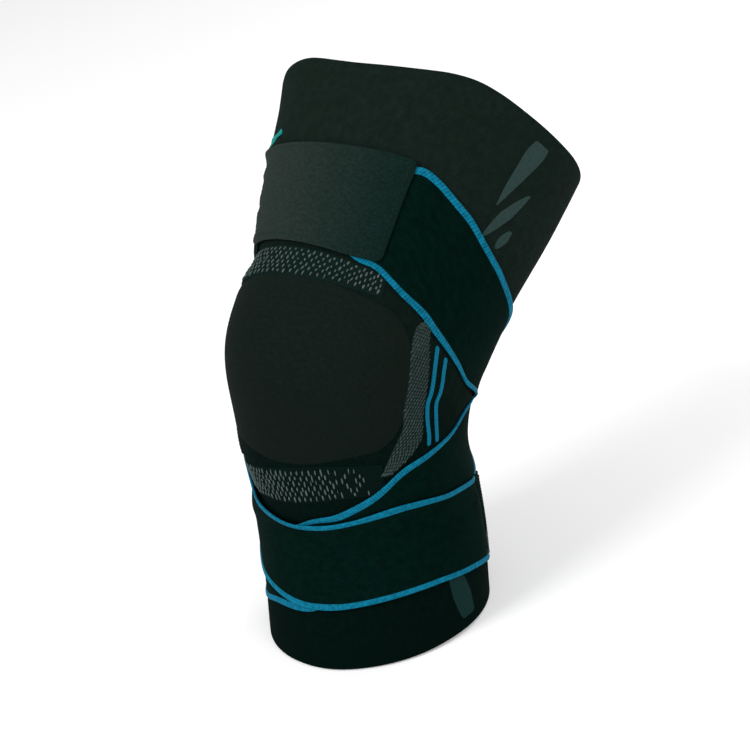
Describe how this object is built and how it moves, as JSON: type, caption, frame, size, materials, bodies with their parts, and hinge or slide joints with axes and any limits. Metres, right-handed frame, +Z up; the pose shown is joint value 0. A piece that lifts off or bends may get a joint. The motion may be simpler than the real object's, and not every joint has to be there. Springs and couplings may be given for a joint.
{
  "type": "knee brace",
  "caption": "Knitted compression knee brace in its worn, bent shape, with a patella ring, side stays, crossing elastic straps and a hook-and-loop closure flap.",
  "frame": {"origin": "centre of the calf rim", "axes": "+Z up the shin from the calf rim, -Y the way the kneecap faces, +X the lateral side of a left knee; the thigh leans back towards +Y at rest"},
  "size_m": [0.165, 0.2281, 0.2856],
  "materials": {
    "sleeve_knit": "fine ribbed elastic knit",
    "cuff_knit": "double rolled rib knit",
    "patella_knit": "smooth dense knit",
    "relief_knit": "raised light grey stitches on black knit",
    "blue_yarn": "twisted blue yarn",
    "strap_elastic": "woven elastic webbing",
    "anchor_tape": "bar-tacked tape",
    "grip_silicone": "satin",
    "stay_steel": "flattened spring wire",
    "channel_tape": "twill tape",
    "ring_silicone": "satin gel",
    "loop_pile": "brushed loop pile",
    "hook_tape": "moulded hooks",
    "flap_fabric": "smooth grey elastic fabric",
    "thread": "polyester thread",
    "label_satin": "plain woven satin, blank"
  },
  "bodies": {
    "calf": {"calf_cuff": "cuff_knit", "calf_sleeve": "sleeve_knit", "calf_grip_band": "grip_silicone", "strap_a_calf": "strap_elastic", "strap_a_calf_edging": "blue_yarn", "strap_a_anchor": "anchor_tape", "strap_b_calf": "strap_elastic", "strap_b_calf_edging": "blue_yarn", "strap_b_anchor": "anchor_tape"},
    "knee": {"patella_panel": "patella_knit", "patella_ring": "ring_silicone", "lower_stretch_band": "sleeve_knit", "lower_relief_band": "relief_knit", "popliteal_panel": "sleeve_knit", "strap_a_cross": "strap_elastic", "strap_a_cross_edging": "blue_yarn", "strap_b_cross": "strap_elastic", "strap_b_cross_edging": "blue_yarn", "lateral_ring_knit": "relief_knit", "medial_ring_knit": "relief_knit", "lateral_stripes": "blue_yarn", "medial_stripes": "blue_yarn", "upper_stretch_band": "sleeve_knit", "upper_relief_band": "relief_knit", "lateral_stay": "stay_steel", "lateral_stay_channel": "channel_tape", "medial_stay": "stay_steel", "medial_stay_channel": "channel_tape"},
    "thigh": {"thigh_sleeve": "sleeve_knit", "thigh_cuff": "cuff_knit", "thigh_grip_band": "grip_silicone", "strap_a_thigh": "strap_elastic", "strap_a_thigh_edging": "blue_yarn", "strap_b_thigh": "strap_elastic", "strap_b_thigh_edging": "blue_yarn", "loop_patch": "loop_pile", "blank_label": "label_satin"},
    "flap": {"closure_flap": "flap_fabric", "hook_patch": "hook_tape", "flap_stitching": "thread"}
  },
  "joints": [
    {"name": "knee_flex_lower", "type": "hinge", "parent": "calf", "child": "knee", "pos_m": [0, 0.01648, 0.11321], "axis": [-1, 0, 0], "range_deg": [-21, 21], "stiffness_Nm_per_rad": 1.5, "deforming": ["lower_stretch_band", "lower_relief_band", "popliteal_panel", "strap_a_cross", "strap_a_cross_edging", "strap_b_cross", "strap_b_cross_edging", "lateral_ring_knit", "medial_ring_knit", "lateral_stripes", "medial_stripes"]},
    {"name": "knee_flex_upper", "type": "hinge", "parent": "knee", "child": "thigh", "pos_m": [0, 0.01648, 0.11321], "axis": [-1, 0, 0], "range_deg": [-21, 21], "stiffness_Nm_per_rad": 1.5, "deforming": ["upper_stretch_band", "upper_relief_band", "lateral_stay", "lateral_stay_channel", "medial_stay", "medial_stay_channel"]},
    {"name": "flap_peel", "type": "hinge", "parent": "thigh", "child": "flap", "pos_m": [-0.05228, 0.03956, 0.24007], "axis": [0.0973, -0.6234, -0.7758], "range_deg": [0, 95]}
  ],
  "couplings": [
    {"joint": "knee_flex_upper", "follows": "knee_flex_lower", "ratio": 1}
  ]
}
